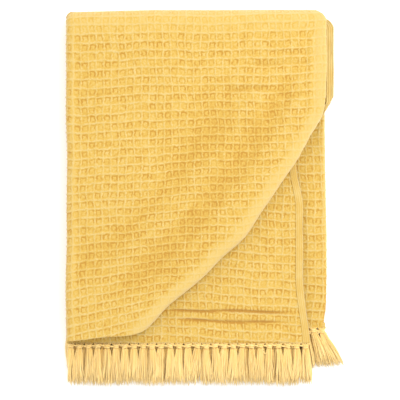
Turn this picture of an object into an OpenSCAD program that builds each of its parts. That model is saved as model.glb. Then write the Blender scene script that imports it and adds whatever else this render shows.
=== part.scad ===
// Folded throw blanket: one fringed cotton waffle-weave cloth, folded in four both ways.
// The lower half lies on the surface; the upper half lies on it and opens about the last fold.
// Each half is a bundle of four layers, and each layer is two plies joined at a fold.
// Nest order k counts the layers from the outside of the last fold: 1 is outermost, 4 innermost.
// Drawing frame: x from the left fold, y backwards with 0 at the last fold, z up from the surface.

/* [Cloth] */
// Thickness of one ply of waffle cloth as it lies in the stack
ply_t = 2.2; // [1.5:0.1:3]
// Width of the plain woven selvedge along each side of the cloth
selvedge_w = 9; // [4:1:15]
// Depth of the plain woven band at each fringed end
header_w = 6; // [3:1:12]

/* [Upper half] */
// Width from the left fold to the right fold
upper_w = 325; // [260:1:400]
// Length from the last fold to the front edge, at the left
upper_l = 415; // [340:1:500]
// How far the front edge has drifted back where the tucked corner begins
front_lift = 11; // [0:1:25]
// How far the two inner layers stand out past the right fold
peek = 8.5; // [0:0.5:15]

/* [Tucked corner] */
// Distance from the last fold at which the right edge turns under
corner_start = 126; // [60:1:170]
// Length of the front edge that is turned under
corner_front = 229; // [150:1:240]
// Outward bow of the turned edge
corner_bow = 17; // [6:1:30]

/* [Lower half] */
// Length from the last fold to the fringed end of the two middle layers
lower_l = 418; // [340:1:510]
// Width of the middle layers at the last fold
middle_back_w = 318; // [270:1:400]
// Width of the middle layers where they are pulled in most
middle_waist_w = 288; // [240:1:400]
// Distance of that waist from the last fold
middle_waist_at = 195; // [80:1:300]
// Width of the middle layers at the fringed end
middle_front_w = 305; // [250:1:400]
// Width of the two bottom layers, left fold to right fold
bottom_w = 326; // [260:1:400]
// How far the bottom layers' fringed end lies behind the middle layers' end
bottom_setback = 19; // [10:1:40]

/* [Fringe] */
// Length of a tassel from its knot to its tip
tassel_l = 48; // [25:1:80]
// Diameter of a tassel's knot
knot_d = 5; // [3:0.5:7]
// Width of the yarn at the knot
neck_w = 2.4; // [1.5:0.1:4]
// Gap between the tips of neighbouring tassels
tip_air = 1.5; // [0.5:0.1:5]
// Tassels along one ply of a middle layer
middle_tassels = 27; // [20:1:27]
// Tassels along one ply of a bottom layer
bottom_tassels = 29; // [20:1:29]
// How many tassels at the right of the bottom rows fan outwards
splayed_tassels = 3; // [0:1:5]
// Turn of the outermost fanned tassel, in degrees
splay = 24; // [0:1:35]

/* [Clearance] */
// Gap between the two halves
half_gap = 0.3; // [0.2:0.05:1]
// Air above and below a tassel, between the plies
fringe_gap = 0.2; // [0.1:0.05:0.5]

/* [Hidden] */
$fn = 96;
ARC_FN = 360;
CLOTH_COLOUR = "#f4cf6c";
BAND_COLOUR = "#f9dc8c";
YARN_COLOUR = "#fbe3a0";
EPS = 1;

LAYERS = [1, 2, 3, 4];
PLIES = [1, 2];
layer_t = 2 * ply_t;
bundle_t = 4 * layer_t;
// The last fold's axis, and the line where the flat stack starts to curl round it
fold_z = bundle_t + half_gap / 2;
fold_y = -fold_z;
// The left folds are half rounds about this line
left_r = bundle_t / 2;
nose_r = layer_t / 2;
bottom_l = lower_l - bottom_setback;
reach = 2 * max(upper_w, upper_l, lower_l);

// Points of the tucked corner: start on the right edge, end on the front edge, and the real corner
front_left = [0, -upper_l];
tuck_a = [upper_w, -corner_start];
tuck_b = [upper_w - corner_front, -upper_l + front_lift];
front_turn = atan2(front_lift, upper_w - corner_front);
corner = [upper_w, -upper_l + upper_w * tan(front_turn)];
// The turned edge is an arc through both points, bowed out towards the real corner
chord = norm(tuck_b - tuck_a);
along = (tuck_b - tuck_a) / chord;
inward = [along[1], -along[0]];
arc_r = chord * chord / (8 * corner_bow) + corner_bow / 2;
arc_c = (tuck_a + tuck_b) / 2 + inward * (arc_r - corner_bow);
roll_r = left_r;
// The corner lies turned under, as its own mirror image in the chord
tucked_tip = corner - 2 * ((corner - tuck_a) * inward) * inward;

middle_pitch = middle_front_w / middle_tassels;
bottom_pitch = bottom_w / bottom_tassels;
tassel_t = ply_t - fringe_gap;

// Centre of the whole footprint, which goes to the origin
fan_x = bottom_w - bottom_pitch / 2 + tassel_l * sin(splay) + (bottom_pitch - tip_air) / 2 * cos(splay);
right_x = max(upper_w + peek, bottom_w, splayed_tassels > 0 ? fan_x : 0);
front_y = -max(upper_l, lower_l + knot_d / 2 + tassel_l);
centre = [right_x / 2, front_y / 2, 0];

// ---- Placing ----

// Puts a piece of the lower half in the part's own frame
module lower_half() {
    translate(-centre) children();
}

// Puts a piece of the upper half there: the same bundle, mirrored in the last fold's plane
module upper_half() {
    translate([0, 0, 2 * fold_z] - centre) mirror([0, 0, 1]) children();
}

// ---- Shared shapes ----

// Sweeps a cross-section (x across, y up) from the front, straight back and round the last fold
module folded_run(length) {
    intersection() {
        union() {
            translate([0, fold_y, 0])
                rotate([90, 0, 0]) linear_extrude(length + fold_y) children();
            translate([0, fold_y, fold_z])
                rotate([0, 90, 0]) rotate_extrude(angle = 90)
                    translate([fold_z, 0]) rotate(90) children();
        }
        translate([-reach, -reach, -EPS]) cube([2 * reach, 2 * reach, bundle_t + EPS]);
    }
}

// Cross-section of layer k: a flat strip between two x values
module layer_section(k, x0, x1) {
    translate([x0, (k - 1) * layer_t]) square([x1 - x0, layer_t]);
}

// Half of a disc or ring on the side of x = 0 that side names, -1 left or 1 right
module half_ring(r_out, r_in, side) {
    intersection() {
        difference() {
            circle(r_out);
            if (r_in > 0) circle(r_in);
        }
        translate([side < 0 ? -r_out : 0, -r_out]) square([r_out, 2 * r_out]);
    }
}

module outer_left_section() {
    translate([left_r, left_r]) half_ring(left_r, left_r - layer_t, -1);
}

module inner_left_section() {
    translate([left_r, left_r]) half_ring(layer_t, 0, -1);
}

// The two outermost layers meet in a half round at the right
module right_section(width) {
    translate([width - layer_t, layer_t]) half_ring(layer_t, 0, 1);
}

// Keeps what lies over a flat outline
module over_outline() {
    intersection() {
        children(0);
        translate([0, 0, -EPS]) linear_extrude(bundle_t + 2 * EPS) children(1);
    }
}

// ---- Upper half ----

// Everything behind the slanted front edge, set back by inset
module behind_front(inset) {
    translate(front_left) rotate(front_turn)
        translate([-reach, inset]) square([2 * reach, 2 * reach]);
}

// Everything inside the turned corner's rolled edge
module inside_turn() {
    translate(arc_c) circle(arc_r - roll_r, $fn = ARC_FN);
}

// The corner and its mirror image in the turned edge's chord
module tuck_outline() {
    polygon([tuck_a, tucked_tip, tuck_b, corner]);
}

function upper_right_x(k) = k <= 2 ? upper_w - layer_t : upper_w + peek;

// The layer's whole strip, with its rounded front fold
module upper_strip(k, x0, x1) {
    over_outline() {
        union() {
            over_outline() {
                folded_run(upper_l) layer_section(k, x0, x1);
                behind_front(nose_r);
            }
            intersection() {
                translate([0, -upper_l, (k - 0.5) * layer_t]) rotate([0, 0, front_turn])
                    translate([-reach / 2, nose_r, 0]) rotate([0, 90, 0]) cylinder(h = reach, r = nose_r);
                translate([x0, -reach, 0]) cube([x1 - x0, 2 * reach, bundle_t]);
            }
        }
        inside_turn();
    }
}

module upper_layer(k) {
    color(CLOTH_COLOUR) upper_half() difference() {
        upper_strip(k, left_r, upper_right_x(k) - (k > 2 ? selvedge_w : 0));
        if (k == 4) translate([0, 0, 3 * layer_t]) linear_extrude(layer_t + EPS) tuck_outline();
    }
}

module upper_selvedge(k) {
    color(BAND_COLOUR) upper_half() difference() {
        upper_strip(k, upper_right_x(k) - selvedge_w, upper_right_x(k));
        if (k == 4) translate([0, 0, 3 * layer_t]) linear_extrude(layer_t + EPS) tuck_outline();
    }
}

module upper_fold() {
    color(CLOTH_COLOUR) upper_half() over_outline() {
        folded_run(upper_l) children();
        intersection() {
            behind_front(nose_r);
            inside_turn();
        }
    }
}

// Rolled edge where the corner turns under: a half round swept along the arc
module turned_corner_edge() {
    start = atan2(tuck_b[1] - arc_c[1], tuck_b[0] - arc_c[0]);
    end = atan2(tuck_a[1] - arc_c[1], tuck_a[0] - arc_c[0]);
    color(CLOTH_COLOUR) upper_half() over_outline() {
        translate([arc_c[0], arc_c[1], 0]) rotate([0, 0, start])
            rotate_extrude(angle = end - start, $fn = ARC_FN)
                translate([arc_r - roll_r, left_r]) half_ring(roll_r, 0, 1);
        intersection() {
            behind_front(0);
            translate([0, -reach]) square([upper_w + peek, reach]);
        }
    }
}

// The turned-under corner itself, in a recess of the lowest layer
module tucked_corner() {
    color(CLOTH_COLOUR) upper_half() translate([0, 0, 3 * layer_t]) linear_extrude(layer_t)
        intersection() {
            tuck_outline();
            inside_turn();
            behind_front(nose_r);
        }
}

// ---- Lower half ----

// Middle layers: pulled in at the right, and open at the left past the bottom layers' end
module middle_outline(inset) {
    polygon([
        [left_r, 0], [middle_back_w - inset, 0], [middle_waist_w - inset, -middle_waist_at],
        [middle_front_w - inset, -lower_l], [0, -lower_l], [0, -bottom_l], [left_r, -bottom_l]
    ]);
}

function is_middle(k) = k > 2;
function end_l(k) = is_middle(k) ? lower_l : bottom_l;

// The layer's whole strip, less inset at its right edge
module lower_strip(k, inset) {
    if (is_middle(k)) {
        over_outline() {
            folded_run(lower_l) layer_section(k, 0, reach);
            middle_outline(inset);
        }
    } else {
        folded_run(bottom_l) layer_section(k, left_r, bottom_w - layer_t);
    }
}

// The plain woven end band's depth, as a slab across everything
module end_band_space(k) {
    translate([-reach, -end_l(k), 0]) cube([2 * reach, header_w, bundle_t]);
}

module lower_layer(k) {
    color(CLOTH_COLOUR) lower_half() difference() {
        lower_strip(k, is_middle(k) ? selvedge_w : 0);
        end_band_space(k);
    }
}

module lower_selvedge(k) {
    color(BAND_COLOUR) lower_half() difference() {
        lower_strip(k, 0);
        end_band_space(k);
        over_outline() {
            translate([-reach, -reach, -EPS]) cube([2 * reach, 2 * reach, bundle_t + 2 * EPS]);
            union() {
                middle_outline(selvedge_w);
                translate([-reach, -reach]) square([reach + left_r + selvedge_w, 2 * reach]);
            }
        }
    }
}

module lower_end_band(k) {
    color(BAND_COLOUR) lower_half() intersection() {
        lower_strip(k, 0);
        end_band_space(k);
    }
}

module lower_fold() {
    color(CLOTH_COLOUR) lower_half() folded_run(bottom_l) children();
}

// ---- Fringe ----

// One tassel of twisted ends: a short neck, a flattened knot and a skirt that widens to its share of the pitch
module tassel(pitch, turn) {
    tip_w = pitch - tip_air;
    neck_t = tassel_t - fringe_gap;
    rim_r = tassel_t / 2;
    translate([-neck_w / 2, 0, -neck_t / 2]) cube([neck_w, knot_d / 2, neck_t]);
    rotate_extrude() {
        translate([0, -rim_r]) square([knot_d / 2 - rim_r, tassel_t]);
        translate([knot_d / 2 - rim_r, 0]) half_ring(rim_r, 0, 1);
    }
    rotate([0, 0, turn]) translate([0, 0, -neck_t / 2]) linear_extrude(neck_t)
        polygon([[-neck_w / 2, 0], [neck_w / 2, 0], [tip_w / 2, -tassel_l], [-tip_w / 2, -tassel_l]]);
}

// Puts a tassel's knot against the end of ply p of layer k
module at_end(k, p, x) {
    lower_half() translate([x, -end_l(k) - knot_d / 2, (k - 1) * layer_t + (p - 0.5) * ply_t]) children();
}

// The seen row is the top ply of the uppermost layer
module middle_tassel(i) {
    color(YARN_COLOUR) at_end(4, 2, (i - 0.5) * middle_pitch) tassel(middle_pitch, 0);
}

module middle_fringe_row(row) {
    k = row < 3 ? 4 : 3;
    p = row % 2 == 1 ? 2 : 1;
    color(YARN_COLOUR) for (i = [1 : middle_tassels])
        at_end(k, p, (i - 0.5) * middle_pitch) tassel(middle_pitch, 0);
}

function splay_of(i) = splay * max(0, i - bottom_tassels + splayed_tassels) / max(1, splayed_tassels);

module bottom_fringe_row(row) {
    k = row < 3 ? 2 : 1;
    p = row % 2 == 1 ? 2 : 1;
    color(YARN_COLOUR) for (i = [1 : bottom_tassels])
        at_end(k, p, (i - 0.5) * bottom_pitch) tassel(bottom_pitch, splay_of(i));
}

// ---- Nodes: upper layers are numbered from the top down, and so are the lower ones ----

for (i = LAYERS) {
    upper_layer(i);
    lower_layer(5 - i);
    lower_end_band(5 - i);
}
upper_selvedge(3);  // upper_selvedge_3
upper_selvedge(4);  // upper_selvedge_4
upper_fold() outer_left_section();  // upper_outer_left_fold
upper_fold() inner_left_section();  // upper_inner_left_fold
upper_fold() right_section(upper_w);  // upper_right_fold
turned_corner_edge();
tucked_corner();
lower_selvedge(4);  // lower_selvedge_1
lower_selvedge(3);  // lower_selvedge_2
lower_fold() outer_left_section();  // lower_outer_left_fold
lower_fold() inner_left_section();  // lower_inner_left_fold
lower_fold() right_section(bottom_w);  // lower_right_fold
for (i = [1 : middle_tassels]) {
    middle_tassel(i);
}
for (row = [2 : 4]) {
    middle_fringe_row(row);
}
for (row = [1 : 4]) {
    bottom_fringe_row(row);
}
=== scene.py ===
import math

import bmesh
import bpy
import numpy as np
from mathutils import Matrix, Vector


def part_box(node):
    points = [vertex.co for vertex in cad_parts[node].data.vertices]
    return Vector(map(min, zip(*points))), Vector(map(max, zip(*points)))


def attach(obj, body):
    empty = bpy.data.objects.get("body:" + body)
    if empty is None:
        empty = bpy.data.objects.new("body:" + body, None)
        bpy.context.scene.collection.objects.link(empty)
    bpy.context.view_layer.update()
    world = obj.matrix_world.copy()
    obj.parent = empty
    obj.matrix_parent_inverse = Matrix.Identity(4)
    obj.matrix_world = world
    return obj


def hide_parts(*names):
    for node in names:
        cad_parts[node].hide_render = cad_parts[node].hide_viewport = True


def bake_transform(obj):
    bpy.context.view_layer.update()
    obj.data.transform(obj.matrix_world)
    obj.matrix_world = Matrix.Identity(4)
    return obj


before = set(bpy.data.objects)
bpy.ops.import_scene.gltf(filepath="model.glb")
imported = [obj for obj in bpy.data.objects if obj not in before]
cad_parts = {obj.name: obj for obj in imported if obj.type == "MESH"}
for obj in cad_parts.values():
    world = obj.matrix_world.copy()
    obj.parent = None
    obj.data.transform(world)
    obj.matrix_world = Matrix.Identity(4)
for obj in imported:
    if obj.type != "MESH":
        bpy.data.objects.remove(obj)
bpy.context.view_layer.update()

# ---- The upper half's outer ply ----
# One waffle-woven cotton cloth, folded in four both ways, so each half of the stack is four layers of two
# plies. Its face rolls over the left, right and front folds, and under where the corner is tucked in. Cloth
# starts flat, in mm from the stack's back left corner at floor level, and is laid round the folds' rolls.
MM = 0.001
back_left = np.array([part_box("lower_outer_left_fold")[0][0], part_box("lower_outer_left_fold")[1][1], 0.0])


def span(node, axis):
    """Lowest and highest place of a CAD node along an axis, in mm from the back left corner."""
    low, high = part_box(node)
    return (low[axis] - back_left[axis]) / MM, (high[axis] - back_left[axis]) / MM


layer_t = span("upper_layer_4", 2)[1] - span("upper_layer_4", 2)[0]
ply_t = layer_t / 2
bundle_t = 4 * layer_t
fold_z = (span("upper_layer_4", 2)[0] + bundle_t) / 2
fold_y = -fold_z
stack_t = 2 * fold_z
left_r = bundle_t / 2
right_r = layer_t
nose_r = layer_t / 2


def bend(place, depth, start, radius, arm):
    """Bends what lies past start round a roll with its axis radius below the face, then straight back."""
    past = np.clip(place - start, 0, None)
    angle = np.minimum(past / arm, math.pi)
    bent = start + (radius - depth) * np.sin(angle) - (past - angle * arm)
    bent_depth = radius - (radius - depth) * np.cos(angle)
    return np.where(past > 0, bent, place), np.where(past > 0, bent_depth, depth)


def smooth(low, high, value):
    """0 below low, 1 above high and a smooth step between."""
    t = np.clip((value - low) / (high - low), 0, 1)
    return t * t * (3 - 2 * t)


def weave(name, xs, ys, lay):
    """A grid of cloth. lay(x, y) gives each point's place, its place on the flat cloth, how taut it is with
    its painted light and shade, and whether it stays."""
    bm = bmesh.new()
    bmesh.ops.create_grid(bm, x_segments=len(xs) - 1, y_segments=len(ys) - 1, size=1)
    x, y = (values.ravel() for values in np.meshgrid(xs, ys))
    place, flat, taut_and_painted_light, stays = lay(x, y)
    gone = [vert for vert, stay in zip(bm.verts, stays) if not stay]
    bmesh.ops.delete(bm, geom=gone, context="VERTS")
    mesh = bpy.data.meshes.new(name)
    bm.to_mesh(mesh)
    bm.free()
    mesh.vertices.foreach_set("co", (place[stays] * MM + back_left).ravel())
    corners = np.empty(len(mesh.loops), int)
    mesh.loops.foreach_get("vertex_index", corners)
    mesh.uv_layers.new(name="cloth").data.foreach_set("uv", (flat[stays][corners] * MM).ravel())
    mesh.attributes.new("taut_and_painted_light", "FLOAT", "POINT").data.foreach_set("value", taut_and_painted_light[stays].astype(np.float32))
    mesh.shade_smooth()
    obj = bpy.data.objects.new(name, mesh)
    bpy.context.scene.collection.objects.link(obj)
    return obj


upper_w = span("upper_right_fold", 0)[1]
upper_l = 415  # from the back of the stack to the front fold, along the left edge
front_lift = 11  # how far the front fold has drifted back by the right edge
corner_start = 126  # where the turned edge leaves the right fold, from the back
corner_front = 229  # and where it meets the front fold, from the right
corner_bow = 17  # how far it bows out past a straight line
right_start = upper_w - right_r
front_turn = math.atan2(front_lift, upper_w - corner_front)
turn_a = np.array([upper_w, -corner_start])
turn_b = np.array([upper_w - corner_front, -upper_l + front_lift])
turn_chord = np.linalg.norm(turn_b - turn_a)
turn_along = (turn_b - turn_a) / turn_chord
turn_inward = np.array([turn_along[1], -turn_along[0]])
turn_r = turn_chord ** 2 / (8 * corner_bow) + corner_bow / 2
turn_c = (turn_a + turn_b) / 2 + turn_inward * (turn_r - corner_bow)
real_corner = np.array([upper_w, -upper_l + upper_w * math.tan(front_turn)])

cell_w = 9.4
cell_l = 11.0
rib_h = 1.15
air = 0.1  # between the ribs' tops and the CAD's faces


def drift(x, y):
    """Where the weave really runs: its rows climb a little to the right, and rows and columns waver."""
    climb = 0.02 + 0.09 * smooth(-150, -400, y) * smooth(330, 60, x)
    row = y - climb * x - 1.1 * np.sin(x / 38 + y / 60) - 0.7 * np.sin(x / 17 - y / 45)
    row = row - 0.6 * np.sin(x / 7.3 + 2 * np.sin(y / 29)) * np.sin(y / 23 + 1)
    column = x + 1.2 * np.sin(y / 55 + x / 90) + 0.6 * np.sin(y / 19 + x / 31)
    column = column + 0.7 * np.sin(y / 8.7 + x / 12)
    return column, row


def rib(column, row):
    """Height of the waffle's ribs, 0 in a pit and 1 on a rib."""
    across = np.abs(column / cell_w % 1 - 0.5) * 2
    along = np.abs(row / cell_l % 1 - 0.5) * 2
    return np.maximum(0.8 * across ** 6, along ** 5) + 0.35 * np.exp(-(across ** 2 + along ** 2) / 0.12)


def round_front(x, y, depth, layer):
    """Takes an upper layer round its front fold; the front has drifted back more and more to the right."""
    face = (layer - 1) * layer_t
    bent, depth = bend(-y, depth - face, upper_l - nose_r, nose_r, nose_r)
    return np.clip(x, 0, None) * math.tan(front_turn) * (bent / upper_l) ** 2 - bent, depth + face


def hollow(distance, width):
    """Cross-section of a soft wrinkle."""
    return np.exp(-(distance / width) ** 2)


def past_turn(x, y):
    """How far a point lies past the line where the corner starts to roll under."""
    return np.hypot(x - turn_c[0], y - turn_c[1]) - (turn_r - left_r)


def edge_wander(angle):
    """How far the turned edge strays from an even bow, along its run."""
    run = turn_r * angle
    swell = 5 * hollow(run + 662, 36) - 3.5 * hollow(run + 800, 22)
    return swell + 0.8 * np.sin(run / 24) + 0.5 * np.sin(run / 10)


def round_turn(x, y, depth):
    """Takes the cloth round the turned edge of the tucked corner."""
    dx, dy = x - turn_c[0], y - turn_c[1]
    reach = np.hypot(dx, dy)
    start = turn_r - left_r
    bent, depth = bend(np.minimum(reach, start + math.pi * left_r), depth, start, left_r, left_r)
    bent = bent + edge_wander(np.arctan2(dy, dx)) * smooth(-40, 0, reach - start)
    return turn_c[0] + dx * bent / reach, turn_c[1] + dy * bent / reach, depth


def wrinkles(x, y):
    """Depth of the soft wrinkles beside the turned edge, and of the puckers near the right fold."""
    inside = -past_turn(x, y)
    down = 3.0 * hollow(inside - 48, 14) * smooth(-60, -110, y) * smooth(-400, -300, y)
    down += 1.6 * hollow(inside - 100, 17) * smooth(-100, -170, y) * smooth(-390, -300, y)
    down += 1.9 * hollow(y + 101 - 0.06 * (x - 220), 4) * smooth(185, 205, x) * smooth(262, 240, x)
    down += 1.8 * hollow(y + 70 - 0.05 * (x - 265), 5) * smooth(215, 240, x) * smooth(315, 295, x)
    down += 1.4 * hollow(y + 55 + 0.02 * (x - 265), 4) * smooth(245, 265, x) * smooth(320, 300, x)
    down += 0.8 * np.sin(x / 47 + y / 71) * np.sin(y / 53 - x / 96)
    return down + 0.25 * np.sin(x / 19 + 1.3) * np.sin(y / 27 + x / 61)


def pull_and_painted_light(x, y):
    """How taut the face lies over the last fold and by the right fold, with a painted highlight along the
    crest of the left roll and painted shade on its outer side.
    """
    right = 0.8 * smooth(right_start - 20, right_start - 7, x)
    # A painted highlight along the crest of the left roll, about 10 mm in from its edge.
    taut_and_painted_light = np.maximum(np.maximum(right, 0.5 * smooth(fold_y - 22, fold_y, y)), 0.6 * hollow(x - 10, 2.5))
    # Painted shade on the left roll's outer side, from about 40 mm behind the front to the front.
    return taut_and_painted_light - 0.3 * smooth(7, 3, x) * smooth(-40, -90, y)


def lay_top(x, y):
    """The face, from flat cloth to its place over the folds and the turned edge."""
    column, row = drift(x, y)
    fy, _ = round_front(x, y, np.zeros_like(x), 1)
    past = past_turn(x, fy)
    # The turned edge's roll lies flat-ribbed and is painted pale, a painted highlight along the roll.
    rolled = smooth(-12, -1, past) * smooth(24, 14, past)
    rolled = np.maximum(0.8 * rolled, smooth(0, 7, past) * smooth(24, 14, past))
    taut_and_painted_light = np.maximum(rolled, pull_and_painted_light(x, y))
    height = rib_h * (1 - 0.8 * np.maximum(taut_and_painted_light, 0))
    flatness = smooth(0, 20, x) * smooth(right_start + 4, right_start - 20, x) * smooth(-18, -40, y)
    flatness *= smooth(-upper_l - 2, -upper_l + 22, y)
    sunk = np.clip(wrinkles(x, fy), -0.6, None) * flatness
    depth = air + height * (1 - rib(column, row)) + sunk
    # Painted shade: the wrinkles' valleys are darkened, less so where the face is taut.
    taut_and_painted_light = taut_and_painted_light - 0.18 * np.clip(sunk, 0, 2) * (1 - np.clip(2 * taut_and_painted_light, 0, 1))
    ridged = smooth(right_start - 34, right_start - 24, x) * smooth(right_start + 1, right_start - 3, x)
    depth = depth + 0.35 * (1 + np.cos((x - right_start) / 1.7)) * ridged * smooth(-18, -40, y)
    fy, depth = round_front(x, y, depth, 1)
    left, depth = bend(-x, depth, -left_r, left_r, left_r)
    right, depth = bend(-left, depth, right_start, right_r, right_r)
    stays = past_turn(right, fy) < math.pi * left_r + 2
    px, py, depth = round_turn(right, fy, depth)
    px = px + (0.7 * np.sin(y / 47) + 0.4 * np.sin(y / 17)) * smooth(40, 0, x) * smooth(fold_y, -60, y)
    return np.stack([px, py, stack_t - depth], 1), np.stack([column, row], 1), taut_and_painted_light, stays


top_xs = np.arange(left_r - math.pi * left_r, right_start + math.pi * right_r, cell_w / 8)
top_ys = np.arange(-upper_l - nose_r - math.pi * nose_r - 12, fold_y, cell_l / 8)
top_xs[-1] = right_start + math.pi * right_r
top_ys[-1] = fold_y
upper_top = weave("upper_top_cloth", top_xs, top_ys, lay_top)


def linear(hex_colour):
    """An sRGB hex colour as linear RGBA."""
    parts = [int(hex_colour[i:i + 2], 16) / 255 for i in (1, 3, 5)]
    return tuple(c / 12.92 if c <= 0.04045 else ((c + 0.055) / 1.055) ** 2.4 for c in parts) + (1.0,)


def add(tree, kind, values=None, links=None, **settings):
    """Adds a node: settings are its own, values fill unlinked sockets, and links come from other nodes."""
    node = tree.nodes.new("ShaderNode" + kind)
    for name, value in settings.items():
        setattr(node, name, value)
    for socket, value in (values or {}).items():
        node.inputs[socket].default_value = value
    for socket, source in (links or {}).items():
        tree.links.new(source, node.inputs[socket])
    return node


def new_material(name):
    """An empty material with its node tree, its shader and the shader's output."""
    material = bpy.data.materials.new(name)
    material.use_nodes = True
    tree = material.node_tree
    return material, tree, tree.nodes["Principled BSDF"]


# Cotton waffle weave, piece-dyed mustard: the raised ribs of soft yarn are painted pale, a painted
# highlight, and the pits between them deep amber, painted shade, with a dark painted shadow on their back
# and side walls round a paler middle. Where the cloth is taut the ribs lie flat and pale; where it sinks
# into wrinkles and creases it is darkened with painted shade. Soft cotton is matt, with a faint sheen of
# fibres. Slubs in the yarn run about 4 mm, thick and thin places 3 mm, uneven dye 11 mm, single yarns 2.4
# mm, fibres 1 mm, and the painted pit shadow varies in strength over 13 mm.
waffle, tree, shader = new_material("cotton waffle weave")
cloth_uv = add(tree, "UVMap", uv_map="cloth")
slubs = add(tree, "TexNoise", {"Scale": 1 / (4.2 * MM), "Detail": 2}, {"Vector": cloth_uv.outputs["UV"]})
wander = add(tree, "VectorMath", {1: (0.5, 0.5, 0.5)}, {0: slubs.outputs["Color"]}, operation="SUBTRACT")
wander = add(tree, "VectorMath", {"Scale": 4.0 * MM}, {0: wander.outputs[0]}, operation="SCALE")
place = add(tree, "VectorMath", None, {0: cloth_uv.outputs["UV"], 1: wander.outputs[0]}, operation="ADD")
cells = add(tree, "VectorMath", {1: (1 / (cell_w * MM), 1 / (cell_l * MM), 0)}, {0: place.outputs[0]},
            operation="MULTIPLY")
inside = add(tree, "VectorMath", None, {0: cells.outputs[0]}, operation="FRACTION")
inside = add(tree, "VectorMath", {1: (0.5, 0.5, 0)}, {0: inside.outputs[0]}, operation="SUBTRACT")
spread = add(tree, "VectorMath", None, {0: inside.outputs[0]}, operation="ABSOLUTE")
axes = add(tree, "SeparateXYZ", None, {0: spread.outputs[0]})
rib_x = add(tree, "MapRange", {1: 0.41, 2: 0.49}, {0: axes.outputs[0]}, interpolation_type="SMOOTHSTEP")
rib_y = add(tree, "MapRange", {1: 0.4, 2: 0.48}, {0: axes.outputs[1]}, interpolation_type="SMOOTHSTEP")
breaks = add(tree, "TexNoise", {"Scale": 1 / (3 * MM), "Detail": 1}, {"Vector": cloth_uv.outputs["UV"]})
breaks = add(tree, "MapRange", {1: 0.35, 2: 0.6, 3: 0.35, 4: 1.0}, {0: breaks.outputs[0]})
soft_x = add(tree, "Math", None, {0: rib_x.outputs[0], 1: breaks.outputs[0]}, operation="MULTIPLY")
ribs = add(tree, "Math", None, {0: soft_x.outputs[0], 1: rib_y.outputs[0]}, operation="MAXIMUM")
# Painted shadow in each pit: a dark ring round its paler middle, on the back and side walls and fading out
# towards the front wall, as if lit from behind.
around = add(tree, "Math", {2: 0.08}, {0: axes.outputs[0], 1: axes.outputs[1]}, operation="SMOOTH_MAX")
off_ring = add(tree, "Math", {1: 0.29}, {0: around.outputs[0]}, operation="SUBTRACT")
off_ring = add(tree, "Math", None, {0: off_ring.outputs[0]}, operation="ABSOLUTE")
ring = add(tree, "MapRange", {1: 0.12, 2: 0.03}, {0: off_ring.outputs[0]}, interpolation_type="SMOOTHSTEP")
upright = add(tree, "SeparateXYZ", None, {0: inside.outputs[0]})
arched = add(tree, "MapRange", {1: -0.3, 2: -0.1, 3: 0.25, 4: 1.0}, {0: upright.outputs[1]})
painted_pit_shadow = add(tree, "Math", None, {0: ring.outputs[0], 1: arched.outputs[0]}, operation="MULTIPLY")
pit_shadow_strength = add(tree, "TexNoise", {"Scale": 1 / (13 * MM), "Detail": 1}, {"Vector": cloth_uv.outputs["UV"]})
pit_shadow_strength = add(tree, "MapRange", {1: 0.35, 2: 0.65, 3: 0.35, 4: 1.25}, {0: pit_shadow_strength.outputs[0]})
painted_pit_shadow = add(tree, "Math", None, {0: painted_pit_shadow.outputs[0], 1: pit_shadow_strength.outputs[0]}, operation="MULTIPLY")
level = add(tree, "Math", {1: -0.5, 2: 0.6}, {0: painted_pit_shadow.outputs[0]}, operation="MULTIPLY_ADD")
level = add(tree, "Mix", {3: 0.9}, {0: ribs.outputs[0], 2: level.outputs[0]})
patches = add(tree, "TexNoise", {"Scale": 1 / (11 * MM), "Detail": 4}, {"Vector": cloth_uv.outputs["UV"]})
patches = add(tree, "MapRange", {1: 0.3, 2: 0.7, 3: -0.15, 4: 0.15}, {0: patches.outputs[0]})
level = add(tree, "Math", None, {0: level.outputs[0], 1: patches.outputs[0]}, operation="ADD")
speckle = add(tree, "TexNoise", {"Scale": 1 / (2.4 * MM), "Detail": 2}, {"Vector": cloth_uv.outputs["UV"]})
speckle = add(tree, "MapRange", {1: 0.3, 2: 0.7, 3: -0.2, 4: 0.2}, {0: speckle.outputs[0]})
level = add(tree, "Math", None, {0: level.outputs[0], 1: speckle.outputs[0]}, operation="ADD")
# This attribute carries tautness and painted light: above 0 it pales the colour where ribs lie flat and as
# painted highlight, below 0 it darkens it as painted shade.
taut_and_painted_light = add(tree, "Attribute", attribute_name="taut_and_painted_light")
painted_shade = add(tree, "Math", {1: 0}, {0: taut_and_painted_light.outputs["Fac"]}, operation="MINIMUM")
level = add(tree, "Math", {1: 0.6}, {0: painted_shade.outputs[0], 2: level.outputs[0]}, operation="MULTIPLY_ADD")
taut_and_highlight_pale = add(tree, "Math", {1: 0.85}, {0: taut_and_painted_light.outputs["Fac"]}, operation="MULTIPLY")
level = add(tree, "Mix", {3: 0.88}, {0: taut_and_highlight_pale.outputs[0], 2: level.outputs[0]})
# The ramp runs from dark amber painted shade in the pits, through mid amber, to pale painted highlight on
# the ribs.
ramp = add(tree, "ValToRGB", None, {0: level.outputs[0]})
ramp.color_ramp.elements[0].color = linear("#a97c29")
ramp.color_ramp.elements[1].color = linear("#c3ab6d")
ramp.color_ramp.elements.new(0.5).color = linear("#bc9943")
fluff = add(tree, "TexNoise", {"Scale": 1 / (1.1 * MM), "Detail": 3}, {"Vector": cloth_uv.outputs["UV"]})
height = add(tree, "Math", {1: 0.5}, {0: fluff.outputs[0], 2: ribs.outputs[0]}, operation="MULTIPLY_ADD")
bump = add(tree, "Bump", {"Strength": 0.6, "Distance": 0.35 * MM}, {"Height": height.outputs[0]})
tree.links.new(ramp.outputs[0], shader.inputs["Base Color"])
tree.links.new(bump.outputs[0], shader.inputs["Normal"])
shader.inputs["Roughness"].default_value = 0.92
shader.inputs["Specular IOR Level"].default_value = 0.2
shader.inputs["Sheen Weight"].default_value = 0.25
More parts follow.
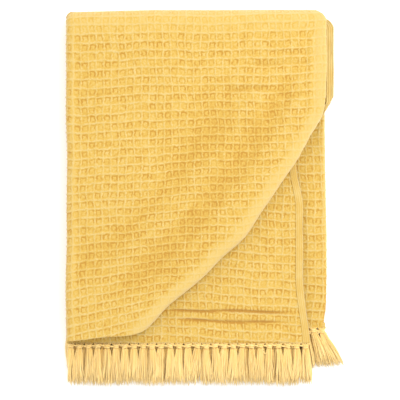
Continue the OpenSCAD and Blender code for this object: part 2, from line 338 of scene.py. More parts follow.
shader.inputs["Sheen Roughness"].default_value = 0.6

upper_top.data.materials.append(waffle)
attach(upper_top, "upper_half")
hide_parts("upper_layer_1", "upper_outer_left_fold", "upper_right_fold", "turned_corner_edge")

# ---- The upper half's inner layers ----
# Three more folded layers under the face. The second is closed by the right fold, and the other two end at
# the right in the cloth's own selvedges, which stand out a little past it.
selvedge_w = 9
peek_x = span("upper_selvedge_3", 0)[1]
skin = 0.25  # between an inner layer's cloth and the layer that it touches
curl_angle = math.radians(83)  # how far the inner plies curl round the last fold before they meet
hinge_gap = 0.6  # the inner faces stop this far short of the hinge line


def round_last_fold(x, y, z, arm):
    """Curls what lies behind the last fold's line round its axis, and draws the two back corners in."""
    angle = np.clip(y - fold_y, 0, None) / arm
    out = np.sin(np.minimum(angle, math.pi))
    pull_right = 15 * (1 - np.sqrt(1 - np.clip((out - 0.2) / 0.8, 0, 1) ** 2))
    pull_left = 3.5 * (1 - np.sqrt(1 - np.clip((out - 0.4) / 0.6, 0, 1) ** 2))
    px = x - pull_right * smooth(0.7 * upper_w, upper_w, x) + pull_left * smooth(60, 0, x)
    back = fold_y + np.abs(z - fold_z) * out - back_pull(x) * out
    return px, np.where(angle > 0, back, y), fold_z + (z - fold_z) * np.cos(angle)


def back_pull(x):
    """The left end of the last fold lies a little further forward."""
    return 2.4 * smooth(120, 0, x)


def spaced(low, high, fine, coarse, edge_low, edge_high):
    """Places from low to high: fine steps within edge_low and edge_high of the two ends, coarse between."""
    parts = []
    for a, b, step in ((low, low + edge_low, fine), (low + edge_low, high - edge_high, coarse),
                       (high - edge_high, high, fine)):
        if b - a > 0.01:
            parts.append(np.linspace(a, b, max(1, math.ceil((b - a) / step)), endpoint=False))
    return np.append(np.concatenate(parts), high)


def peek_edge(y):
    """Right edge of the two inner upper layers: it stands out less towards both its ends."""
    out = smooth(-5, -24, y) * smooth(-corner_start - 4, -corner_start + 10, y)
    return upper_w - 3 + (peek_x - upper_w + 3) * out


def curl_end(depth):
    """Where a ply at that depth meets the plane between the halves, measured along the cloth."""
    return fold_y + curl_angle * (fold_z - depth)


def tuck_shape(x, y):
    """1 over the tucked corner, falling to 0 just outside it."""
    a, b, c = turn_a, tuck_tip, turn_b
    inside = np.full_like(x, np.inf)
    for start, end in ((a, b), (b, c)):
        side = (end - start) / np.linalg.norm(end - start)
        inside = np.minimum(inside, (x - start[0]) * -side[1] + (y - start[1]) * side[0])
    return smooth(-6, 1, -inside if turn_flip else inside)


tuck_tip = real_corner - 2 * np.dot(real_corner - turn_a, turn_inward) * turn_inward
turn_flip = np.cross(tuck_tip - turn_a, turn_b - turn_a) < 0


def lay_sleeve(layer):
    """One upper layer as a sleeve of cloth: its outer ply, the front fold and its inner ply."""
    face = (layer - 1) * layer_t

    def lay(x, y):
        fy, depth = round_front(x, y, np.full_like(x, face + skin), layer)
        edge = peek_edge(fy) - selvedge_w if layer > 2 else right_start
        narrowed = (edge - left_r) / (sleeve_right(layer) - left_r)
        wide = np.where(x > left_r, left_r + (x - left_r) * narrowed, x)
        column, row = drift(wide, y)
        near_edge = smooth(sleeve_right(layer) - 14, sleeve_right(layer) - 8, x)
        seen = np.maximum(near_edge, smooth(20, 8, fy + upper_l))
        if layer == 4:
            seen = np.maximum(seen, smooth(-upper_l - 4, -upper_l - 8, y))
        relief = rib_h * (1 - rib(column, row)) * seen * smooth(-16, -26, fy)
        if layer == 4:
            relief = relief + 2.2 * tuck_shape(wide, fy) * smooth(-upper_l - 4, -upper_l - 8, y)
        fy, depth = round_front(x, y, face + skin + relief, layer)
        if layer == 2:
            left, depth = bend(-wide, depth, -left_r, left_r, left_r - face - skin)
            wide = -left
        z = stack_t - depth
        arm = np.abs(z - fold_z)
        cx, cy, cz = round_last_fold(wide, fy, z, np.maximum(arm, 0.5))
        flat_end = arm < ply_t
        level_y = fy - back_pull(wide) * smooth(fold_y, -hinge_gap, fy)
        place = np.stack([np.where(flat_end, wide, cx), np.where(flat_end, level_y, cy),
                          np.where(flat_end, z, cz)], 1)
        stays = past_turn(wide, fy) < (np.where(fy > -130, 6, 2) if layer < 4 else -0.5)
        return place, np.stack([column, row], 1), np.zeros_like(x), stays
    return lay


def sleeve_right(layer):
    """Widest place of a sleeve's right edge."""
    return peek_x - selvedge_w if layer > 2 else right_start


inner_layers = []
for layer in (2, 3, 4):
    face = (layer - 1) * layer_t
    back_in = -hinge_gap if layer == 4 else curl_end(face + layer_t - skin)
    low = -(2 * (upper_l - nose_r) + math.pi * nose_r + back_in)
    front = -upper_l - math.pi * nose_r / 2
    if layer == 4:
        inner_ys = spaced(low, front - 20, 1.5, cell_l / 5, 22, 0)
        xs = spaced(left_r, sleeve_right(layer), 1.5, cell_w / 5, 6, 14)
    else:
        inner_ys = spaced(low, front - 20, 2, 9, 22, 0)
        xs = spaced(left_r, sleeve_right(layer), 1.4, 9, 6, 14)
    if layer == 2:
        roll_start = left_r - math.pi * (left_r - face - skin)
        xs = np.append(np.linspace(roll_start, left_r, 12, endpoint=False), xs)
    outer_ys = spaced(front - 20, curl_end(face + skin), 1.5, 9, 44, 24)
    ys = np.append(inner_ys[:-1], outer_ys)
    piece = weave(f"upper_layer_{layer}_cloth", xs, ys, lay_sleeve(layer))
    piece.data.materials.append(waffle)
    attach(piece, "upper_half")
    width, length = xs[-1] - xs[0], ys[-1] - ys[0]
    inner_layers.append(piece)
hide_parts("upper_layer_2", "upper_inner_left_fold")
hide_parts("upper_layer_3")
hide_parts("upper_layer_4")

# The tucked corner itself: the corner of the upper half, turned under along the bowed edge and pressed flat
# against the inner face, where it shows only when the throw is opened.
angle_a = math.atan2(*(turn_a - turn_c)[::-1])
angle_b = math.atan2(*(turn_b - turn_c)[::-1])


def lay_tucked(s, t):
    """s runs along the turned edge, and t from that edge to the corner's tip."""
    angle = angle_a + (angle_b - angle_a) * s
    reach = turn_r - left_r + 0.5 + edge_wander(angle)
    base = np.stack([turn_c[0] + reach * np.cos(angle), turn_c[1] + reach * np.sin(angle)], 1)
    flat_place = base * (1 - t[:, None]) + tuck_tip * t[:, None]
    cloth = flat_place - 2 * ((flat_place - turn_a) @ turn_inward)[:, None] * turn_inward
    column, row = drift(cloth[:, 0], cloth[:, 1])
    edge = np.minimum(s, 1 - s) * turn_chord * (1 - t)
    rim = np.sqrt(np.clip(1 - (1 - np.clip(edge / 3, 0, 1)) ** 2, 0, 1))
    depth = bundle_t - air - rib_h * (1 - rib(column, row)) * rim - 3 * (1 - rim)
    z = stack_t - depth
    place = np.stack([flat_place[:, 0], flat_place[:, 1], z], 1)
    return place, np.stack([column, row], 1), np.zeros_like(s), np.ones(len(s), bool)


tucked = weave("tucked_corner_cloth", spaced(0, 1, 0.003, 0.006, 0.03, 0.03),
               np.linspace(0, 0.995, 110), lay_tucked)
tucked.data.materials.append(waffle)
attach(tucked, "upper_half")
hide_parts("tucked_corner")

# ---- The last fold ----
# The outer ply again, where it rolls round the back of the whole stack and joins the two halves. In the
# throw it is the one stretch of cloth that bends as the upper half opens; here it is laid only in its closed
# shape.


def lay_last_fold(x, y):
    """The outer ply's half turn round the back, from the upper face to the underside."""
    column, row = drift(x, y)
    taut_and_painted_light = pull_and_painted_light(x, y)
    depth = air + rib_h * (1 - 0.8 * np.maximum(taut_and_painted_light, 0)) * (1 - rib(column, row))
    left, depth = bend(-x, depth, -left_r, left_r, left_r)
    px, depth = bend(-left, depth, right_start, right_r, right_r)
    px, py, pz = round_last_fold(px, y, stack_t - depth, fold_z)
    return np.stack([px, py, pz], 1), np.stack([column, row], 1), taut_and_painted_light, np.ones(len(x), bool)


fold_ys = np.linspace(fold_y, fold_y + math.pi * fold_z, 61)
last_fold = weave("last_fold_cloth", top_xs, fold_ys, lay_last_fold)
last_fold.data.materials.append(waffle)
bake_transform(last_fold)

# ---- The lower half's bottom layers ----
# The two layers that lie lowest: one stretch of the waffle cloth, joined at the right by a fold. That fold
# and their fringed end show beside the middle layers.
bottom_w = span("lower_right_fold", 0)[1]
bottom_l = -span("lower_end_band_3", 1)[0]
header_w = 6
bottom_right = bottom_w - right_r


def lay_side_strip(x, y):
    """The bottom layers' upper face and right fold."""
    column, row = drift(x, y)
    seen = smooth(262, 272, x)
    taut_and_painted_light = 0.6 * smooth(bottom_right - 3, bottom_right + 3, x)
    depth = air + rib_h * (1 - rib(column, row)) * seen * (1 - 0.6 * taut_and_painted_light)
    open_part = smooth(280, 300, x) * smooth(bottom_right, bottom_right - 12, x)
    depth = depth + 0.5 * np.sin(y / 31 + 0.6) * open_part
    px, depth = bend(x, depth, bottom_right, right_r, right_r)
    px = px + smooth(280, 320, px) * (1.3 * np.sin(y / 58 + 0.7) - 3 * smooth(-bottom_l + 34, -bottom_l, y)
                                      - 4 * smooth(-128, -108, y))
    z = 2 * layer_t - depth
    px, cy, cz = round_last_fold(px, y, z, np.maximum(np.abs(z - fold_z), 0.5))
    # Painted shade on the fold's rim near the fringed end, where the fold drops and turns under.
    taut_and_painted_light = taut_and_painted_light - 1.1 * smooth(bottom_right - 1, bottom_right + 3, x) * smooth(-290, -345, y)
    return np.stack([px, cy, cz], 1), np.stack([column, row], 1), taut_and_painted_light, np.ones(len(x), bool)


side_xs = spaced(left_r, bottom_right + math.pi * right_r, cell_w / 7, 12, 0, 76)
side_strip = weave("bottom_layers_top_cloth", side_xs,
                   np.arange(-bottom_l + 0.6, fold_y + curl_angle * (fold_z - 2 * layer_t), cell_l / 7),
                   lay_side_strip)


def lay_underside(x, y):
    """The lowest ply, face down."""
    column, row = drift(x, y)
    place = np.stack([x, y, air + 0.8 * rib_h * (1 - rib(column, row))], 1)
    return place, np.stack([column, row], 1), np.zeros_like(x), np.ones(len(x), bool)


underside = weave("underside_cloth", spaced(left_r, bottom_right, 2, cell_w / 4, 0, 0),
                  spaced(-bottom_l + header_w, fold_y, 2, cell_l / 4, 0, 0)[::-1], lay_underside)

# ---- The lower half's middle layers ----
# The two upper layers of the lower half. The face of the upper one shows in front of the turned edge, with
# two creases pressed in near its fringed end; both end at the right in the cloth's selvedges.
lower_l = -span("lower_end_band_1", 1)[0]
middle_back_w = span("lower_selvedge_1", 0)[1]
middle_front_w = span("lower_end_band_1", 0)[1]
middle_waist_w = 287


def middle_edge(y):
    """Right edge of the middle layers: pulled in where the corner is tucked, and out again to the front."""
    back = middle_back_w - (middle_back_w - middle_waist_w) * smooth(0, -188, y)
    out = 0.5 * smooth(-188, -250, y) + 0.5 * smooth(-335, -425, y)
    return back + (middle_front_w - middle_waist_w) * out


def lower_left(y):
    """Left end of the middle layers' plies: they lie open past the bottom layers' shorter end."""
    return left_r * smooth(-bottom_l - 6, -bottom_l + 6, y)


def creases(x, y):
    """Two sharp creases pressed in across the front, from 0 to 1."""
    first = y + 377 + 0.02 * (x - 200) - 0.6 * np.sin(x / 15)
    second = y + 390 + 0.03 * (x - 210) - 0.6 * np.sin(x / 19)
    return np.maximum(hollow(first, 1.7) * smooth(112, 150, x) * smooth(292, 255, x),
                      hollow(second, 1.9) * smooth(126, 170, x) * smooth(292, 245, x))


def sag(x, y):
    """The soft swell between the creases, the slow waves of the face and the hollow by the selvedge."""
    down = -0.9 * hollow(y + 384, 4.5) * smooth(120, 160, x) * smooth(300, 270, x)
    down += 0.35 * np.sin(x / 41 + 2) * np.sin(y / 37 + x / 88)
    return down + 0.8 * hollow(x - middle_edge(y) + 30, 9) * smooth(-190, -240, y)


def lay_middle(x, y):
    """The middle layers' face, with its left roll and the two creases."""
    end = left_r + (x - left_r) * (middle_edge(y) - selvedge_w - left_r) / (middle_front_w - left_r)
    wide = np.where(x > left_r, end, x)
    column, row = drift(wide + 40, y - 3)
    row = row + 0.03 * wide
    back = smooth(fold_y - 3, fold_y, y)
    pressed = creases(wide, y)
    relief = rib_h * (1 - rib(column, row)) * (1 - 0.8 * back) * (1 - pressed) + 3.2 * pressed
    relief = relief + sag(wide, y) * (1 - back) * smooth(0, 24, wide) + 0.5 * smooth(4, 0, y + lower_l)
    short = (lower_l - bottom_l) * smooth(left_r, left_r - math.pi * left_r, x) * smooth(-300, -lower_l, y)
    left, depth = bend(-wide, air + relief, -left_r, left_r, left_r)
    disc = np.sqrt(np.clip(left_r ** 2 - (y + left_r) ** 2, 0, None))
    lid = left_r - disc * np.clip((left_r - x) / (math.pi * left_r), 0, 1)
    px = np.where((y > fold_y + 0.1) & (x < left_r), lid, -left)
    pz = np.where((y > fold_y + 0.1) & (x < left_r), bundle_t - air, bundle_t - depth)
    short = short - back_pull(px) * smooth(fold_y, -hinge_gap, y)
    place = np.stack([px, y + short, pz], 1)
    # The creases are darkened with painted shade.
    return place, np.stack([column, row], 1), -1.3 * pressed, np.ones(len(x), bool)


middle_xs = np.concatenate([np.arange(left_r - math.pi * left_r, 90, cell_w / 5),
                            np.arange(90, middle_front_w, cell_w / 8), [middle_front_w]])
middle_ys = np.concatenate([np.arange(-lower_l + 0.6, -396, cell_l / 8), np.arange(-396, -372, 0.6),
                            np.arange(-372, -120, cell_l / 8),
                            np.arange(-120, -hinge_gap, cell_l / 5), [-hinge_gap]])
middle = weave("middle_layers_top_cloth", middle_xs, middle_ys, lay_middle)

for piece, nodes, width, length in (
        (side_strip, ("lower_layer_3", "lower_right_fold"), side_xs[-1] - side_xs[0], bottom_l),
        (underside, ("lower_layer_4",), bottom_right - left_r, bottom_l),
        (middle, ("lower_layer_1", "lower_outer_left_fold"), middle_xs[-1] - middle_xs[0], lower_l)):
    piece.data.materials.append(waffle)
    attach(piece, "lower_half")
    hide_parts(*nodes)

# ---- The plies between ----
# The same waffle cloth where it lies between the faces and shows only at its edges. No ribs would show
# there, so these plies are laid as plain thick cloth.
hidden_plies = []


def lay_hidden(ply):
    """A ply between the faces: x runs from 0 to 1 across it."""
    def lay(x, y):
        right = middle_edge(y) - selvedge_w if ply > 4 else np.full_like(y, bottom_right)
        left = lower_left(y) if ply > 4 else np.full_like(y, left_r)
        px = left + x * (right - left)
        z = np.full_like(x, (ply - 0.5) * ply_t - (0.9 if ply == 7 else 0.4))
        px, py, pz = round_last_fold(px, y, z, np.maximum(np.abs(z - fold_z), 0.5))
        return np.stack([px, py, pz], 1), np.stack([px, y], 1), np.zeros_like(x), np.ones(len(x), bool)
    return lay


def thicken(obj, thickness):
    """Gives a ply's surface its thickness."""
    solid = obj.modifiers.new("ply thickness", "SOLIDIFY")
    solid.thickness = thickness * MM
    solid.offset = 0
    return obj


for ply in (2, 3, 5, 6, 7):
    end = lower_l if ply > 4 else bottom_l
    back = fold_y + curl_angle * (fold_z - (ply - 0.5) * ply_t)
    ys = spaced(-end + header_w, back, 2, 10, 10, 26)
    piece = thicken(weave(f"lower_ply_{ply}_cloth", np.linspace(0, 1, 33), ys, lay_hidden(ply)), 1.1)
    piece.data.materials.append(waffle)
    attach(piece, "lower_half")
    width = (middle_front_w if ply > 4 else bottom_w) - left_r
    hidden_plies.append(piece)
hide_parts("lower_layer_2", "lower_inner_left_fold")
lower_plies = [underside, hidden_plies[0], hidden_plies[1], side_strip, *hidden_plies[2:], middle]

# ---- Selvedges and end bands ----
# The cloth's edges are woven plain and tight, without the waffle: warp cords run along a firm, slightly
# paler band that the weft turns back into. The real cords are about 1 mm apart; 2.4 mm is what still shows.
plain, tree, shader = new_material("plain woven cotton edge")
cloth_uv = add(tree, "UVMap", uv_map="cloth")
cords = add(tree, "TexWave", {"Scale": 2 * math.pi / (20 * 2.4 * MM), "Distortion": 1.5, "Detail": 2,
                              "Detail Scale": 2}, {"Vector": cloth_uv.outputs["UV"]},
            wave_type="BANDS", bands_direction="X")
patches = add(tree, "TexNoise", {"Scale": 1 / (17 * MM), "Detail": 4}, {"Vector": cloth_uv.outputs["UV"]})
patches = add(tree, "MapRange", {1: 0.3, 2: 0.7, 3: -0.2, 4: 0.2}, {0: patches.outputs[0]})
level = add(tree, "Math", {1: 0.45}, {0: cords.outputs["Fac"], 2: patches.outputs[0]},
            operation="MULTIPLY_ADD")
ramp = add(tree, "ValToRGB", None, {0: level.outputs[0]})
ramp.color_ramp.elements[0].color = linear("#ba984c")
ramp.color_ramp.elements[1].color = linear("#cab982")
bump = add(tree, "Bump", {"Strength": 0.5, "Distance": 0.3 * MM}, {"Height": cords.outputs["Fac"]})
tree.links.new(ramp.outputs[0], shader.inputs["Base Color"])
tree.links.new(bump.outputs[0], shader.inputs["Normal"])
shader.inputs["Roughness"].default_value = 0.9
shader.inputs["Specular IOR Level"].default_value = 0.2
shader.inputs["Sheen Weight"].default_value = 0.25


def lay_selvedge(ply, half):
    """A ply's selvedge: x runs across it and y along it."""
    def lay(x, y):
        edge = peek_edge(y) if half == "upper" else middle_edge(y)
        px = edge - selvedge_w + x + 0.35 * np.sin(y / 9 + 2 * ply) * smooth(5, 9, x)
        height = (ply - 0.5) * ply_t - 0.2 * np.sin(y / 21 + ply) - 0.4 * smooth(7, 9, x)
        height = height + 0.2 * np.cos(2 * math.pi * x / 2.4)
        z = stack_t - height if half == "upper" else height
        px, py, pz = round_last_fold(px, y, z, np.maximum(np.abs(z - fold_z), 0.5))
        stays = past_turn(px, y) < left_r if half == "upper" else np.ones(len(x), bool)
        return np.stack([px, py, pz], 1), np.stack([x, y], 1), np.zeros_like(x), stays
    return lay


for half in ("upper", "lower"):
    for ply in (5, 6, 7, 8):
        front = -corner_start - 14 if half == "upper" else -lower_l + (0.6 if ply == 8 else header_w)
        back = fold_y + curl_angle * (fold_z - (ply - 0.5) * ply_t)
        ys = np.arange(front, back, 1.8)
        piece = thicken(weave(f"{half}_selvedge_ply_{ply}", np.linspace(0, selvedge_w, 19), ys,
                              lay_selvedge(ply, half)), 1.7)
        piece.data.materials.append(plain)
        piece.parent = inner_layers[(ply - 3) // 2] if half == "upper" else lower_plies[ply - 1]
        if ply in (5, 7):
            layer = (ply + 1) // 2
            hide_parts(f"{half}_selvedge_{layer if half == 'upper' else 5 - layer}")


def lay_end_band(ply):
    """The plain woven band across a ply's fringed end: x runs from 0 to 1 along it."""
    end = lower_l if ply > 4 else bottom_l

    def lay(x, y):
        right = middle_edge(y * 0 - end) if ply > 4 else np.full_like(y, bottom_right + 3)
        left = np.full_like(y, 0.8 if ply > 4 else 4.0)
        px = left + x * (right - left)
        height = (ply - 0.5) * ply_t + 0.15 * np.sin(px / 13 + ply) - (1.2 if ply in (4, 8) else 0.5)
        py = y - end + 0.4 * np.sin(px / 7 + ply) * smooth(2, 0, y)
        return np.stack([px, py, height], 1), np.stack([y, px], 1), np.zeros_like(x), np.ones(len(x), bool)
    return lay


for ply in range(1, 9):
    piece = thicken(weave(f"end_band_ply_{ply}", np.linspace(0, 1, 160), np.linspace(0, header_w + 0.6, 6),
                          lay_end_band(ply)), 1.7)
    piece.data.materials.append(plain)
    piece.parent = lower_plies[ply - 1]
    if ply % 2:
        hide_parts(f"lower_end_band_{4 - ply // 2}")

# ---- The fringe ----
# The warp ends of each ply, gathered in bunches, knotted close to the cloth and left as loose tassels of
# soft open yarn. Twenty-seven hang from each ply of the middle layers, twenty-nine from each bottom ply.
# The yarn is softly twisted cotton, matt and a little paler than the weave; its open ends are painted
# palest, a painted highlight.
yarn_cotton, tree, shader = new_material("soft twisted cotton yarn")
yarn_uv = add(tree, "UVMap", uv_map="cloth")
streaks = add(tree, "Mapping", {"Scale": (1 / (1.1 * MM), 1 / (17 * MM), 1)},
              {"Vector": yarn_uv.outputs["UV"]})
streaks = add(tree, "TexNoise", {"Scale": 1, "Detail": 3}, {"Vector": streaks.outputs[0]})
tone_and_tip_highlight = add(tree, "Attribute", attribute_name="tone_and_tip_highlight")
level = add(tree, "Math", None, {0: streaks.outputs[0], 1: tone_and_tip_highlight.outputs["Fac"]}, operation="ADD")
ramp = add(tree, "ValToRGB", None, {0: level.outputs[0]})
ramp.color_ramp.elements[0].position = 0.3
ramp.color_ramp.elements[0].color = linear("#d6ae56")
ramp.color_ramp.elements[1].position = 0.9
ramp.color_ramp.elements[1].color = linear("#e4cb90")
bump = add(tree, "Bump", {"Strength": 0.5, "Distance": 0.2 * MM}, {"Height": streaks.outputs[0]})
tree.links.new(ramp.outputs[0], shader.inputs["Base Color"])
tree.links.new(bump.outputs[0], shader.inputs["Normal"])
shader.inputs["Roughness"].default_value = 0.9
shader.inputs["Specular IOR Level"].default_value = 0.2
shader.inputs["Sheen Weight"].default_value = 0.3

yarn_sides = 5  # enough for a yarn 1 mm thick


def spin_yarns(name, groups):
    """One mesh of closed yarns. Each group is (routes, radius, side): routes as strands x points x 3 in mm,
    radius as strands x points, and side a direction that no yarn in the group runs along."""
    bm = bmesh.new()
    places, flats, tones = [], [], []
    for routes, radius, side in groups:
        strands, points = routes.shape[:2]
        run = np.gradient(routes, axis=1)
        run /= np.linalg.norm(run, axis=2, keepdims=True) + 1e-9
        across = np.cross(run, side)
        across /= np.linalg.norm(across, axis=2, keepdims=True) + 1e-9
        up = np.cross(across, run)
        angle = np.linspace(0, 2 * math.pi, yarn_sides + 1)
        angle[-1] = 0
        ring = across[:, :, None] * np.cos(angle)[:, None] + up[:, :, None] * np.sin(angle)[:, None]
        spot = (routes[:, :, None] + radius[:, :, None, None] * ring).reshape(-1, 3)
        spot[:, 2] = np.maximum(spot[:, 2], 0.05)
        places.append(spot)
        length = np.cumsum(np.linalg.norm(np.diff(routes, axis=1, prepend=routes[:, :1]), axis=2), axis=1)
        around = np.broadcast_to(np.linspace(0, 3, yarn_sides + 1), (strands, points, yarn_sides + 1))
        offset = 40 * np.arange(strands)[:, None, None]
        along = np.broadcast_to(length[:, :, None], around.shape)
        flats.append(np.stack([around + offset, along], 3).reshape(-1, 2))
        # Each strand's tone differs at random, and the yarn is painted paler towards its open end, a painted
        # highlight.
        strand_tone_and_tip_highlight = 0.14 * np.sin(37.7 * np.arange(strands))[:, None, None] + 0.22 * along / tassel_l
        tones.append(strand_tone_and_tip_highlight.astype(np.float32).ravel() + np.zeros(around.size, np.float32))
        first = len(bm.faces)
        bmesh.ops.create_grid(bm, x_segments=yarn_sides, y_segments=strands * points - 1, size=1)
        bm.faces.ensure_lookup_table()
        gaps = range(points - 1, strands * points - 1, points)
        between = [bm.faces[first + row * yarn_sides + col] for row in gaps for col in range(yarn_sides)]
        bmesh.ops.delete(bm, geom=between, context="FACES_ONLY")
    mesh = bpy.data.meshes.new(name)
    bm.to_mesh(mesh)
    mesh.vertices.foreach_set("co", (np.concatenate(places) * MM + back_left).ravel())
    corners = np.empty(len(mesh.loops), int)
    mesh.loops.foreach_get("vertex_index", corners)
    mesh.uv_layers.new(name="cloth").data.foreach_set("uv", (np.concatenate(flats)[corners] * MM).ravel())
    mesh.attributes.new("tone_and_tip_highlight", "FLOAT", "POINT").data.foreach_set("value", np.concatenate(tones))
    bm.clear()
    bm.from_mesh(mesh)
    loose = [edge for edge in bm.edges if not edge.link_faces]
    bmesh.ops.delete(bm, geom=loose, context="EDGES")
    bmesh.ops.remove_doubles(bm, verts=bm.verts, dist=1e-7)
    bmesh.ops.recalc_face_normals(bm, faces=bm.faces)
    bm.to_mesh(mesh)
    bm.free()
    mesh.shade_smooth()
    mesh.materials.append(yarn_cotton)
    obj = bpy.data.objects.new(name, mesh)
    bpy.context.scene.collection.objects.link(obj)
    return obj


rng = np.random.default_rng(27)
tassel_l = 48
knot_r = 2.8
across_axis = np.array([0.0, 0.0, 1.0])
along_axis = np.array([0.0, 1.0, 0.0])


def taper(radius, strands, points):
    """Radius along closed yarns: full, with the two ends drawn to a point."""
    shape = np.full(points, radius)
    shape[0] = 0
    shape[-1] = 0
    shape[-2] = 0.75 * radius
    return np.tile(shape, (strands, 1))


def skirt(knot, strands, yarn_r, width, lean, turn, bow=0.0, reach=1.0):
    """The loose yarns below a knot: they spread to the tassel's width, waver, and end unevenly."""
    points = 9
    t = np.linspace(0, 1, points)[None, :]
    lane = (np.arange(strands) + 0.5) / strands * 2 - 1
    rng.shuffle(lane)
    lane = (lane + 0.12 * rng.standard_normal(strands))[:, None]
    start = 1.9 * lane + 0.2 * rng.standard_normal((strands, 1))
    length = tassel_l * reach * rng.uniform(0.86, 1.07, (strands, 1))
    bulge = 1 + 0.25 * np.sin(math.pi * t) * rng.uniform(-0.4, 1, (strands, 1))
    pace = rng.uniform(0.5, 1.4, (strands, 1))
    wave = 0.8 * np.sin(2 * math.pi * (t * pace + rng.uniform(0, 1, (strands, 1))))
    dx = start + (lane * width / 2 - start) * t ** 0.6 * bulge + wave * t
    dx = dx + lean * t ** 1.3 + bow * np.sin(math.pi * t)
    dy = 1.6 - (length + 1.6) * t
    dz = 0.9 * rng.standard_normal((strands, 1)) * (0.5 + t) + 1.1 * np.sin(math.pi * t) - 2.0 * t ** 2
    px = knot[0] + dx * math.cos(turn) - dy * math.sin(turn)
    py = knot[1] + dy * math.cos(turn)
    routes = np.stack([px, py, np.maximum(knot[2] + dz, yarn_r)], 2)
    return routes, taper(yarn_r, strands, points), across_axis


def knot_coils(knot, coils, yarn_r):
    """The knot: turns of yarn wrapped tightly round the bunch."""
    points = 13
    turn = np.linspace(0, 1, points)[None, :] * 2 * math.pi * 1.25 + rng.uniform(0, 6, (coils, 1))
    rise = (np.arange(coils)[:, None] - (coils - 1) / 2) * 1.5 * yarn_r
    rise = rise + 0.7 * np.sin(turn + rng.uniform(0, 6))
    routes = np.stack([knot[0] + (knot_r - 0.1 * yarn_r) * np.cos(turn), knot[1] + rise + 0 * turn,
                       knot[2] + 0.85 * (knot_r - 0.2 * yarn_r) * np.sin(turn)], 2)
    return routes, taper(yarn_r, coils, points), along_axis


def bars(knot, pitch, yarn_r, hang):
    """Two slack yarns that cross from one knot to the next."""
    t = np.linspace(0, 1, 9)[None, :]
    cross = np.array([[-0.9], [0.9]])
    px = knot[0] + 0.5 * knot_r + (pitch - knot_r) * t + 0 * cross
    py = knot[1] + 1.2 + cross * np.cos(math.pi * t) * 0.8 - hang * np.sin(math.pi * t)
    pz = knot[2] + 0.7 * np.sin(math.pi * t) * np.sign(cross) + 0.6
    return np.stack([px, py, pz], 2), taper(yarn_r, 2, 9), across_axis


def legs(knot, end_y, spread, yarn_r, strands):
    """The bunched warp ends that run from the cloth's end into the knot."""
    t = np.linspace(0, 1, 5)[None, :]
    side = np.linspace(-1, 1, strands)[:, None]
    px = knot[0] + side * spread * (1 - t) ** 1.4 + 0.5 * side
    py = end_y + 1.2 + (knot[1] - end_y - 1.6) * t
    pz = knot[2] + 0.5 * np.sin(math.pi * t) + 0 * side
    return np.stack([px, py + 0 * side, pz], 2), taper(yarn_r, strands, 5), across_axis


# How far the tips of a few tassels of the seen row lie to one side; the others sway a little.
lying_across = {6: 3, 11: -3, 15: -10, 16: 4, 21: 3.5, 25: 3}
middle_count = 27
middle_pitch = middle_front_w / middle_count
seen_z = span("tassel_1", 2)[0] / 2 + span("tassel_1", 2)[1] / 2
for i in range(1, middle_count + 1):
    knot = np.array([(i - 0.5) * middle_pitch, -lower_l - knot_r + 0.5 * math.sin(2.3 * i), seen_z + 0.6])
    lean = lying_across.get(i, 1.8 * math.sin(1.9 * i))
    fullness = middle_pitch * (1.06 + 0.14 * math.sin(4.1 * i))
    bow = 1.6 * math.sin(2.7 * i)
    reach = 0.98 + 0.04 * math.sin(5.3 * i)
    groups = [skirt(knot, 46, 0.55, fullness, lean, 0.0, bow, reach), knot_coils(knot, 2, 1.35),
              legs(knot, -lower_l, 0.46 * middle_pitch, 0.9, 5)]
    if i < middle_count:
        groups.append(bars(knot, middle_pitch, 1.0, 0.4 + 0.5 * math.sin(2.9 * i)))
    if i == 22:
        groups.append(bars(knot, middle_pitch, 0.6, 11))
    tassel = spin_yarns(f"tassel_{i}_yarns", groups)
    tassel.parent = middle
    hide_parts(f"tassel_{i}")

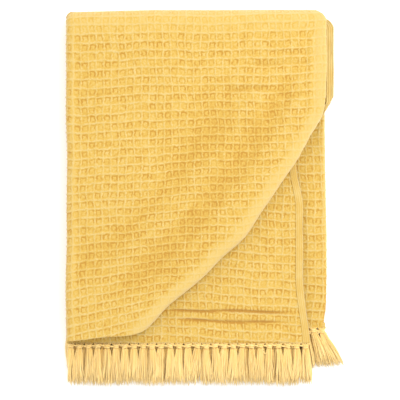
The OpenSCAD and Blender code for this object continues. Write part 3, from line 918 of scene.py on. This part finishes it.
bottom_count = 29
bottom_pitch = bottom_w / bottom_count
splay = math.radians(26)
for node, count, pitch, end, z in (
        ("middle_fringe_row_2", middle_count, middle_pitch, lower_l, 6.5),
        ("middle_fringe_row_3", middle_count, middle_pitch, lower_l, 5.5),
        ("middle_fringe_row_4", middle_count, middle_pitch, lower_l, 4.5),
        ("bottom_fringe_row_1", bottom_count, bottom_pitch, bottom_l, 3.5),
        ("bottom_fringe_row_2", bottom_count, bottom_pitch, bottom_l, 2.5),
        ("bottom_fringe_row_3", bottom_count, bottom_pitch, bottom_l, 1.5),
        ("bottom_fringe_row_4", bottom_count, bottom_pitch, bottom_l, 0.5)):
    groups = []
    top_row = node == "bottom_fringe_row_1"
    for i in range(1, count + 1):
        beside = 0.4 * pitch * (0.5 - z % 2) if not top_row and 1 < i < count else 0
        knot_y = -end - knot_r + 0.5 * math.sin(3.1 * i + z)
        knot = np.array([(i - 0.5) * pitch + beside, knot_y, z * ply_t])
        near = top_row and i > count - 4
        wide = 1.5 if end == bottom_l and i > count - 3 else 1.02
        turn = splay * max(0, i - count + 3) / 3 * (1 if z > 2 else 0.55) if end == bottom_l else 0.0
        lean = 1.6 * math.sin(1.7 * i + z) + (2.5 if i == 1 else 0)
        groups.append(skirt(knot, 44 if near else 12, 0.6 if near else 1.0, pitch * wide, lean, turn,
                            1.4 * math.sin(2.2 * i + z)))
        groups.append(knot_coils(knot, 2, 1.35))
        groups.append(legs(knot, -end, 0.46 * pitch, 0.9, 5 if near else 3))
        if end == bottom_l and count - 4 < i < count:
            groups.append(bars(knot, pitch, 1.0, 1 + z % 2))
            groups.append(bars(knot, pitch, 0.9, 5))
    row_piece = spin_yarns(f"{node}_yarns", groups)
    row_piece.parent = lower_plies[int(z)]
    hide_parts(node)

# ---- Floor, light and camera ----
# A plain pale floor, an even white sky and one broad soft lamp from behind and above, so that the light
# rakes gently over the waffle, and a camera straight above.
bm = bmesh.new()
bmesh.ops.create_grid(bm, x_segments=1, y_segments=1, size=30)
floor_mesh = bpy.data.meshes.new("floor")
bm.to_mesh(floor_mesh)
bm.free()
floor = bpy.data.objects.new("floor", floor_mesh)
bpy.context.scene.collection.objects.link(floor)

# Matt white paper: no gloss at all, so it only takes the shadow.
paper, tree, shader = new_material("white paper backdrop")
shader.inputs["Base Color"].default_value = linear("#fafafa")
shader.inputs["Roughness"].default_value = 1.0
floor_mesh.materials.append(paper)

world = bpy.data.worlds.new("soft white sky")
world.use_nodes = True
world.node_tree.nodes["Background"].inputs["Color"].default_value = (1, 1, 1, 1)
world.node_tree.nodes["Background"].inputs["Strength"].default_value = 1.45
bpy.context.scene.world = world

lamp_data = bpy.data.lights.new("softbox", "AREA")
lamp_data.shape = "SQUARE"
lamp_data.size = 1.2
lamp_data.energy = 26
lamp = bpy.data.objects.new("softbox", lamp_data)
lamp.location = (1.1, 0.8, 1.6)
lamp.rotation_euler = (math.radians(-40), 0, math.radians(-54))
bpy.context.scene.collection.objects.link(lamp)

camera_data = bpy.data.cameras.new("camera")
camera_data.lens = 160
camera_data.clip_end = 100
camera = bpy.data.objects.new("camera", camera_data)
view_width = 0.496
distance = view_width * camera_data.lens / camera_data.sensor_width
# Straight above, a few millimetres left of and in front of the middle.
camera.location = (-0.0048, -0.0038, stack_t * MM + distance)
bpy.context.scene.collection.objects.link(camera)
bpy.context.scene.camera = camera
bpy.context.scene.view_settings.view_transform = "Standard"
